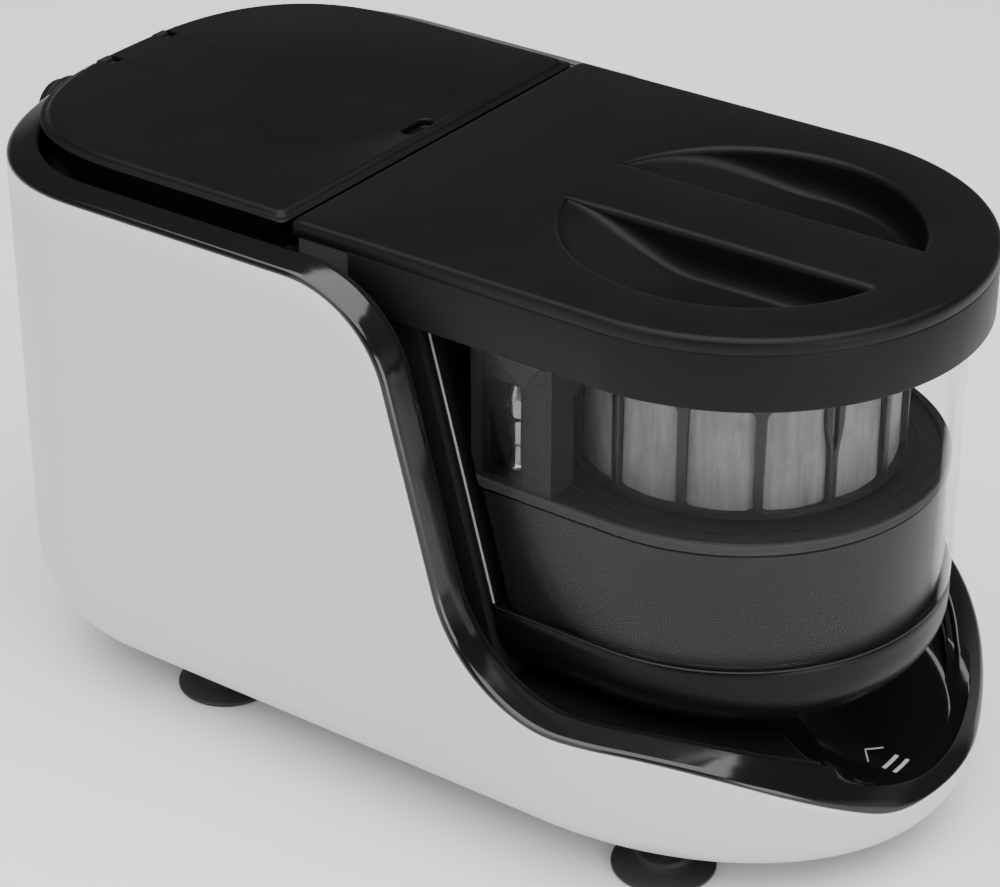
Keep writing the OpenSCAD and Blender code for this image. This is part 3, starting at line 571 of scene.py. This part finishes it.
def build_bowl_base():
    """The dark tray under the bowl, with a bottom edge rounded by 18 mm outside and 15.5 mm inside."""
    inner_r, gap = 70.2, 2.5
    loops = []
    for k in range(13):
        a = math.pi / 2 * k / 12
        loops.append(d_loop(BOWL_R - 18 * (1 - math.sin(a)), 58.7 + 18 * (1 - math.cos(a)), 0.0))
    loops += [d_loop(BOWL_R, z, 0.0) for z in (79, 81.5, 83.4)]
    loops += [d_loop(72.3, 84.1, 0.3), d_loop(71.6, 84.35, 0.8)]
    loops += [d_loop(inner_r, z, gap) for z in (84.35, 80)]
    for k in range(9):
        a = math.pi / 2 * (1 - k / 8)
        loops.append(d_loop(inner_r - 15.5 * (1 - math.sin(a)), 61.2 + 15.5 * (1 - math.cos(a)), gap))
    Builder().loops(loops, cap_start=True, cap_end=True).make(
        "bowl_base_skin", "base_black", "bowl", ["bowl_base"])


def build_pot():
    """Dark pot inside the clear bowl, with a rolled rim and a gasket line."""
    loops = [d_loop(67.6, 74.0, 5.1), d_loop(68.8, 74.5, 3.9), d_loop(69.2, 75.8, 3.5)]
    loops += [d_loop(69.2, z, 3.5) for z in np.linspace(78, 123.6, 10)]
    loops += [d_loop(69.2, 124.4, 3.5), d_loop(68.5, 124.7, 4.2), d_loop(68.5, 125.3, 4.2),
              d_loop(69.2, 125.6, 3.5), d_loop(69.2, 128.4, 3.5), d_loop(68.7, 129.0, 4.0),
              d_loop(67.4, 129.0, 5.3), d_loop(67.0, 128.5, 5.7)]
    loops += [d_loop(67.0, z, 5.7) for z in (120, 100, 80)] + [d_loop(66.0, 76.4, 6.7)]
    Builder().loops(loops, cap_start=True, cap_end=True).make(
        "pot_skin", "pot_satin", "pot", ["catch_pot"])
    Builder().loops(wall_loops(69.9, 0.9, 125.5, 129.0, 2.9, 3, 0.25), wrap=True).make(
        "pot_gasket", "seal_rubber", "pot", ["pot_seal"])


# ---- front lid with two finger recesses --------------------------------------------
def lid_loop(inset, z):
    """The front lid's outline: round front, straight sides, square back."""
    r = LID_R - inset
    y1 = SEAM_Y - inset
    c = 2.5
    pts = arc(0, DRUM_Y, r, math.pi, math.pi, 120, z)
    pts += [(r, DRUM_Y + (y1 - c - DRUM_Y) * k / 24, z) for k in range(1, 25)]
    pts += arc(r - c, y1 - c, c, 0, math.pi / 2, 5, z, first=1)
    pts += arc(-r + c, y1 - c, c, math.pi / 2, math.pi / 2, 5, z)
    pts += [(-r, y1 - c + (DRUM_Y - y1 + c) * k / 24, z) for k in range(1, 24)]
    return pts


def grip_loop(side, inset):
    """(x, y) points of a recess outline, pulled in by inset: a line beside the grip bar, and an arc."""
    n = 64
    r = GRIP_R - inset
    x0 = GRIP_BAR / 2 + inset
    h = math.sqrt(max(0.0, r * r - x0 * x0))
    phi = math.atan2(h, x0)
    pts = [(x0, -h + 2 * h * k / n) for k in range(n)]
    pts += [(r * math.cos(a), r * math.sin(a)) for a in (phi - 2 * phi * k / n for k in range(n))]
    return [(side * x, DRUM_Y + y) for x, y in pts]


def smooth_step(a, b, v):
    """0 at a, 1 at b, with level ends."""
    t = max(0.0, min(1.0, (v - a) / (b - a)))
    return t * t * (3 - 2 * t)


def grip_depth(y):
    """How deep the recess is along its length: shallow at the rear tip."""
    return 1.5 + 12.2 * smooth_step(-46, -96, y) if y > -96 else 13.7


def ring_fill(bm, loops):
    """Fills the flat area between an outer loop and the holes in it."""
    edges = []
    for loop in loops:
        for i, v in enumerate(loop):
            pair = (v, loop[(i + 1) % len(loop)])
            edges.append(bm.edges.get(pair) or bm.edges.new(pair))
    bmesh.ops.triangle_fill(bm, use_beauty=True, use_dissolve=False, edges=edges, normal=(0, 0, 1))


def bm_loops(bm, loops):
    """Skins closed loops of points in millimetres, and gives back their vertices."""
    rows = [[bm.verts.new(Vector(p) * MM) for p in loop] for loop in loops]
    n = len(rows[0])
    for a, b in zip(rows, rows[1:]):
        for i in range(n):
            j = (i + 1) % n
            bm.faces.new((a[i], a[j], b[j], b[i]))
    return rows


def grip_rows(side):
    """Loops from a recess's rounded lip down its wall to its floor."""
    lip = 2.3
    rows = []
    for k in range(7):
        a = math.pi / 2 * k / 6
        rows.append([(x, y, LID_TOP - lip * (1 - math.cos(a)) * min(1, grip_depth(y) / 5))
                     for x, y in grip_loop(side, -lip + lip * math.sin(a))])
    for k in range(1, 15):
        t = k / 14
        share = math.sin(math.pi / 2 * min(1, t * 1.25)) ** 0.8
        row = []
        for x, y in grip_loop(side, 6.0 * t ** 2):
            depth = grip_depth(y)
            start = lip * min(1, depth / 5)
            row.append((x, y, LID_TOP - start - (depth - start) * share))
        rows.append(row)
    return rows


def build_front_lid():
    bm = bmesh.new()
    r = 2.4
    edge = [lid_loop(r * (1 - math.sin(a)), LID_TOP - r * (1 - math.cos(a)))
            for a in (math.pi / 2 * k / 6 for k in range(7))]
    edge += [lid_loop(0, 199.4), lid_loop(0.3, 199.0), lid_loop(2.8, 199.0)]
    outlines = [bm_loops(bm, edge)[0]]
    for side in (-1, 1):
        made = bm_loops(bm, grip_rows(side))
        outlines.append(made[0])
        last = made[-1]
        n = len(last)
        for i in range(1, n // 2 + 1):
            corners = [last[i - 1], last[i], last[(n - i) % n], last[(n - i + 1) % n]]
            bm.faces.new(list(dict.fromkeys(corners)))
    ring_fill(bm, outlines)
    place(bm, "front_lid_skin", "lid_black", "front_lid", ["front_lid"])


def build_skirt():
    """The rim that hangs from the lid, along both sides and round the front."""
    section = fillet([(0.0, 199.3), (0.0, 180.2), (2.6, 180.2), (2.6, 199.3)], 0.7, 3)
    back, steps, turns = -8.3, 20, 120
    path = [("s", -1, back + (DRUM_Y - back) * k / steps) for k in range(steps)]
    path += [("a", math.pi + math.pi * k / turns) for k in range(turns + 1)]
    path += [("s", 1, DRUM_Y + (back - DRUM_Y) * k / steps) for k in range(1, steps + 1)]
    loops = []
    for p in path:
        ring = []
        for inset, z in section:
            r = LID_R - inset
            if p[0] == "s":
                ring.append((p[1] * r, p[2], z))
            else:
                ring.append((r * math.cos(p[1]), DRUM_Y + r * math.sin(p[1]), z))
        loops.append(ring)
    Builder().loops(loops, cap_start=True, cap_end=True).make("front_lid_skirt", "lid_black", "front_lid")


# ---- rear lid -------------------------------------------------------------------------
def rear_loop(inset, z):
    """The rear lid's outline: rounded back, straight sides, square front."""
    r, y0, c = LID_R - inset, SEAM_Y + 2.5 + inset, 2.5
    mid, deep, power = 83, 70, 2 / 2.6
    pts = [(r * spow(math.cos(a), power), mid + (deep - inset) * spow(max(0, math.sin(a)), power), z)
           for a in (math.pi * i / 120 for i in range(121))]
    pts += [(-r, mid - (mid - y0 - c) * k / 12, z) for k in range(1, 13)]
    pts += arc(-r + c, y0 + c, c, math.pi, math.pi / 2, 5, z, first=1)
    pts += arc(r - c, y0 + c, c, 1.5 * math.pi, math.pi / 2, 5, z)
    pts += [(r, y0 + c + (mid - y0 - c) * k / 12, z) for k in range(1, 12)]
    return pts


def pill_loop(grow, z):
    """A short slot with round ends, in the rear lid's front."""
    r = 2.6 + grow
    return [(1 + math.copysign(4.5, math.cos(a)) + r * math.cos(a), 25.5 + r * math.sin(a), z)
            for a in turn(40)]


def cut_boxes(obj, boxes):
    """Cuts box-shaped slots, given in millimetres, out of a closed piece."""
    bm = bmesh.new()
    for low, high in boxes:
        size = [(b - a) * MM for a, b in zip(low, high)]
        mid = [(a + b) / 2 * MM for a, b in zip(low, high)]
        bmesh.ops.create_cube(bm, size=1, matrix=Matrix.Translation(mid) @ Matrix.Diagonal((*size, 1)))
    me = bpy.data.meshes.new("cutter")
    bm.to_mesh(me)
    bm.free()
    cutter = bpy.data.objects.new("cutter", me)
    bpy.context.scene.collection.objects.link(cutter)
    mod = obj.modifiers.new("slots", "BOOLEAN")
    mod.operation = "DIFFERENCE"
    mod.solver = "EXACT"
    mod.use_self = True         # without this the result is empty
    mod.object = cutter
    bpy.context.view_layer.update()
    done = bpy.data.meshes.new_from_object(obj.evaluated_get(bpy.context.evaluated_depsgraph_get()))
    obj.modifiers.clear()
    obj.data = done
    done.set_sharp_from_angle(angle=SHARP)
    bpy.data.objects.remove(cutter)
    bpy.data.meshes.remove(me)


def build_rear_lid():
    bm = bmesh.new()
    # (inset, z) over the top edge, the groove under it and the inset skirt
    edge = [(4.4, 204.0), (3.8, 203.93), (3.1, 203.7), (2.4, 203.2), (2.0, 202.55), (1.5, 202.3), (0.5, 202.2),
            (0.1, 202.0), (0.0, 201.8), (0.2, 201.4), (1.4, 200.5), (1.9, 200.0), (4.5, 200.0), (4.5, 190.6),
            (4.9, 190.1), (6.6, 190.1), (7.0, 190.6), (7.0, 200.0)]
    outer = bm_loops(bm, [rear_loop(*p) for p in edge])
    bm.faces.new(outer[-1])
    pill = bm_loops(bm, [pill_loop(*p) for p in ((0.7, 204.0), (0.35, 203.9), (0.05, 203.5), (0.0, 203.0),
                                                 (0.0, 201.5), (-0.4, 201.1))])
    bm.faces.new(pill[-1])
    ring_fill(bm, [outer[0], pill[0]])
    lid = place(bm, "rear_lid_skin", "lid_black", "rear_lid", ["rear_lid"])
    # no skirt at the hinge, and a slot round each of its ears
    cut_boxes(lid, [((-24, 138, 186), (24, 160, 199.9)), ((-17.4, 143.2, 186), (-11.6, 165, 208)),
                    ((11.6, 143.2, 186), (17.4, 165, 208))])


# ---- drum: ribbed ring wall, mesh sleeve, ringed floor ---------------------------------
RIBS = 14
RIB_PITCH = 2 * math.pi / RIBS
DRUM_LOW, DRUM_HIGH = 129.4, 177.0      # the drum's wall
WINDOW_LOW, WINDOW_HIGH = 131.2, 169.0  # its windows
DRUM_OUT, DRUM_IN = 54.4, 52.05         # its radii
RIB_REACH = RIB_PITCH / 2 * DRUM_OUT    # half a rib's width where it closes the wall


def rib_half_width(z, y_shaped):
    """Half of a rib's width at height z, with rounded window corners; a Y-shaped rib spreads upwards."""
    if z <= WINDOW_LOW or z >= WINDOW_HIGH:
        return RIB_REACH
    base = 1.4 + 0.35 * (z - WINDOW_LOW) / (WINDOW_HIGH - WINDOW_LOW)
    up = max(0.0, 1 - (WINDOW_HIGH - z) / 5.0)
    down = max(0.0, 1 - (z - WINDOW_LOW) / 0.7)
    grow = max(1 - math.sqrt(max(0.0, 1 - up * up)), 1 - math.sqrt(max(0.0, 1 - down * down)))
    if y_shaped:
        base += 1.6 * smooth_step(148, 160, z)
    return base + (RIB_REACH - base) * grow


def rib_strip(centre, left, right, y_shaped, levels):
    """Loops round a rib, or round one half of it, which has left or right 0."""
    cols = 6
    loops = []
    for z in levels:
        w = rib_half_width(z, y_shaped)
        notch = 0.0
        if y_shaped and 150 < z < WINDOW_HIGH:
            notch = 1.0 * smooth_step(150, 154, z) * math.sqrt(max(0.0, 1 - smooth_step(166, 169, z)))
        lo = left * w if left else notch
        hi = right * w if right else -notch
        outer, inner = [], []
        for i in range(cols + 1):
            a = centre + (lo + (hi - lo) * i / cols) / DRUM_OUT
            r = DRUM_OUT - (0.25 if w < RIB_REACH - 0.01 and i in (0, cols) else 0.0)
            outer.append((r * math.cos(a), SPIN_Y + r * math.sin(a), z))
            inner.append((DRUM_IN * math.cos(a), SPIN_Y + DRUM_IN * math.sin(a), z))
        loops.append(outer + inner[::-1])
    return loops


def build_drum():
    levels = [DRUM_LOW, DRUM_LOW + 1.2, WINDOW_LOW]
    for run in (np.linspace(WINDOW_LOW + 0.3, WINDOW_LOW + 3, 4),
                np.linspace(WINDOW_LOW + 4, WINDOW_HIGH - 7, 9),
                np.linspace(WINDOW_HIGH - 6, WINDOW_HIGH, 13), (172, 175.5, DRUM_HIGH)):
        levels += list(run)
    b = Builder()
    for k in range(RIBS):
        y_shaped = k in (RIBS - 1, RIBS - 5)
        for left, right in ((-1, 0), (0, 1)) if y_shaped else ((-1, 1),):
            b.loops(rib_strip(-math.pi / 2 + RIB_PITCH * k, left, right, y_shaped, levels),
                    cap_start=True, cap_end=True)
    b.make("drum_frame_skin", "dark_satin", "drum", ["drum_frame"])
    sleeve = fillet([(52.0, 129.5), (52.0, 175.8), (51.4, 175.8), (51.4, 129.5)], 0.1, 2)
    Builder().lathe(sleeve, 0, SPIN_Y, 160).make("drum_sleeve", "mesh_steel", "drum", ["drum_mesh"])
    # the floor has a hub and three raised rings
    floor = [(0.2, 139), (6.8, 139), (7.7, 138.6), (8, 137.8), (8.1, 133), (8.8, 132.2)]
    for r in (16, 26, 38):
        floor += [(r - 2.2, 132), (r - 1.2, 132.5), (r - 0.7, 133.3),
                  (r + 0.7, 133.3), (r + 1.2, 132.5), (r + 2.2, 132)]
    floor += [(51.2, 132), (51.2, 130), (4.2, 130), (0.2, 130)]
    Builder().lathe(floor, 0, SPIN_Y, 128).make("drum_floor", "hub_grey", "drum", ["drum_hub"])


# ---- nozzle, feet and elbows --------------------------------------------------------------
def build_nozzle():
    """A clear stem with a cross tube, lit brighter than the bowl so that it shows through it."""
    cx, cy, z = -60.5, -59.8, 131.0
    stem = fillet([(1.6, z), (4.2, z), (4.2, z + 2), (3.1, z + 3), (2.7, z + 9), (3.2, z + 10), (3.2, z + 18),
                   (4.4, z + 20), (4.4, z + 26), (3.0, z + 30.6), (1.4, z + 30.6), (1.4, z + 5)], 0.4, 3)
    cross = ((-5.8, 1.4), (-5.8, 2.7), (-5.4, 3.0), (-3.4, 3.0), (-3.0, 2.6),
             (3.0, 2.6), (3.4, 3.0), (5.4, 3.0), (5.8, 2.7), (5.8, 1.4))
    b = Builder().lathe(stem, cx, cy, 40)
    b.loops([[(cx + r * math.cos(a), cy + y, z + 23 + r * math.sin(a)) for a in turn(32)]
             for y, r in cross], wrap=True)
    nozzle = b.make("nozzle_clear", "clear_plastic", "pot", ["spray_nozzle"])
    nozzle.data.materials[0] = MAT["clear_lit"]


def build_feet():
    prof = fillet([(2.1, 5.5), (2.1, 2.4), (10, 1.9), (15, 0.02), (17.4, 0.02),
                   (17.4, 1.1), (14.5, 2.1), (11, 3.2), (9.4, 4.2), (8.5, 5.5)], 0.35, 3)
    b = Builder()
    for x in (-58, 58):
        for y in (-116, 69):
            b.lathe(prof, x, y, 64)
    b.make("suction_cups", "foot_rubber", "housing", ["suction_feet"])


def build_elbow(cad, x, zc):
    """A turned knuckle on the port, whose axis is at x and height zc, with a barbed hose tail."""
    yc = 176.0
    b = Builder()
    knuckle = fillet([(7.1, 163.6), (11.8, 163.6), (12.5, 164.4), (12.5, 170), (11.9, 170.4), (11.9, 171.6),
                      (12.5, 172), (12.5, 180.6), (11.4, 182.0), (10.4, 182.4), (10.2, 185.4), (8.0, 186.2),
                      (7.3, 187.9), (0.4, 187.9), (0.4, 181), (7.1, 181)], 0.5, 3)
    b.loops([[(x + r * math.cos(a), y, zc + r * math.sin(a)) for a in turn(72)] for r, y in knuckle], wrap=True)
    # heights for a port at 173
    tail = fillet([(7.0, 117.1), (8.5, 117.1), (9.5, 119.5), (8.8, 119.7), (8.8, 123), (9.5, 125.6), (8.8, 125.8),
                   (8.8, 129.5), (9.5, 132), (8.9, 132.2), (9.2, 149.8), (11, 150.1), (11, 153), (9.4, 153.3),
                   (9.4, 166), (7.0, 166)], 0.25, 2)
    b.lathe([(r, z + zc - 173) for r, z in tail], x, yc, 64)
    b.make(cad + "_skin", "elbow_black", cad, [cad])


# ---- generic mark in the scoop: an arrow head and two plain bars ---------------------------
def build_mark():
    b = Builder()
    high = 0.1

    def strip(points, width):
        """A strip along the points, 0.1 mm proud of the scoop."""
        pts = [Vector(p) for p in points]
        dense = []
        for p, q in zip(pts, pts[1:]):
            steps = max(2, int((q - p).length / 0.8))
            dense += [p.lerp(q, k / steps) for k in range(steps)]
        dense.append(pts[-1])
        loops = []
        for i, p in enumerate(dense):
            d = (dense[min(i + 1, len(dense) - 1)] - dense[max(i - 1, 0)]).normalized()
            nrm = Vector((-d.y, d.x)) * width / 2
            ring = []
            for s, h in ((-1, -high), (-1, high), (1, high), (1, -high)):
                v = p + nrm * s
                ring.append((v.x, v.y, floor_z(v.x, v.y) + h))
            loops.append(ring)
        b.loops(loops, closed=True, cap_start=True, cap_end=True)

    strip([(-5, -160.5), (0, -156.5), (5, -160.5)], 0.55)
    strip([(-4.5, -166), (4.5, -166)], 1.4)
    strip([(-4.5, -170), (4.5, -170)], 1.4)
    b.make("scoop_mark", "mark_grey", "housing")


def round_cad_edges():
    """A small rounding on the CAD nodes that stay."""
    for obj in frame["nodes"].values():
        if not obj.hide_render:
            bev = obj.modifiers.new("soft_edges", "BEVEL")
            bev.width = 0.0004
            bev.segments = 2
            bev.limit_method = "ANGLE"
            bev.angle_limit = math.radians(50)


# ---- floor, light and camera ---------------------------------------------------------------------
def build_stage():
    me = bpy.data.meshes.new("floor")
    s, z = 6.0, -0.0003         # just under the feet
    me.from_pydata([(-s, -s, z), (s, -s, z), (s, s, z), (-s, s, z)], [], [(0, 1, 2, 3)])
    floor = bpy.data.objects.new("floor", me)
    bpy.context.scene.collection.objects.link(floor)
    m, nt, bsdf = new_material("floor_pale")
    nt.links.new(mixed(nt, noise(nt, 2, 3), grey(0.93), grey(0.96)), bsdf.inputs["Base Color"])
    bsdf.inputs["Roughness"].default_value = 0.85
    me.materials.append(m)


def area(name, location, target, size, power):
    """A square soft light that faces the target."""
    lamp = bpy.data.lights.new(name, "AREA")
    lamp.energy = power
    lamp.shape = "RECTANGLE"
    lamp.size = size
    lamp.size_y = size
    obj = bpy.data.objects.new(name, lamp)
    bpy.context.scene.collection.objects.link(obj)
    obj.location = location
    obj.rotation_euler = (Vector(target) - Vector(location)).to_track_quat("-Z", "Y").to_euler()


def build_light():
    """White surroundings that are bright at the horizon and dim above, and three soft lights."""
    world = bpy.data.worlds.new("studio")
    bpy.context.scene.world = world
    world.use_nodes = True
    nt = world.node_tree
    where = node(nt, "ShaderNodeTexCoord")
    split = node(nt, "ShaderNodeSeparateXYZ")
    nt.links.new(where.outputs["Generated"], split.inputs[0])
    background = nt.nodes["Background"].inputs
    nt.links.new(ranged(nt, split.outputs["Z"], 0.6, 0.05, 0.08, 0.30), background["Strength"])
    background["Color"].default_value = (1, 1, 1, 1)
    area("overhead", (-0.3, -0.2, 2.2), (0, 0, 0), 3.0, 128)
    area("side", (-1.9, 0.5, 0.7), (0, 0.05, 0.1), 1.2, 8)
    area("front", (-0.5, -1.9, 0.45), (0, -0.1, 0.12), 1.0, 16)


def build_camera():
    """The photograph's view, as fitted to the outlines of the object in it."""
    camera = bpy.data.cameras.new("camera")
    camera.sensor_width = 36.0
    camera.sensor_fit = "HORIZONTAL"
    camera.lens = 111.6
    camera.shift_x = -0.0093
    camera.shift_y = 0.0394
    camera.clip_end = 50
    cam = bpy.data.objects.new("camera", camera)
    bpy.context.scene.collection.objects.link(cam)
    position = Vector((-0.7529, -0.5466, 0.6135))
    yaw, pitch, roll = math.radians(54.66), math.radians(-29.97), 0.002
    forward = Vector((math.sin(yaw) * math.cos(pitch), math.cos(yaw) * math.cos(pitch), math.sin(pitch)))
    right = Vector((math.cos(yaw), -math.sin(yaw), 0))
    rotation = Matrix((right, right.cross(forward), -forward)).transposed()
    cam.matrix_world = Matrix.Translation(position) @ rotation.to_4x4() @ Matrix.Rotation(roll, 4, "Z")
    bpy.context.scene.camera = cam


build_shell()
build_trim()
build_dock()
build_cheeks()
build_bowl()
build_bowl_base()
build_pot()
build_front_lid()
build_skirt()
build_rear_lid()
build_drum()
build_nozzle()
build_feet()
build_elbow("inlet_elbow", -3.0, 173.0)
build_elbow("outlet_elbow", 26.0, 128.0)
build_mark()
round_cad_edges()
build_stage()
build_light()
build_camera()

bpy.context.view_layer.update()
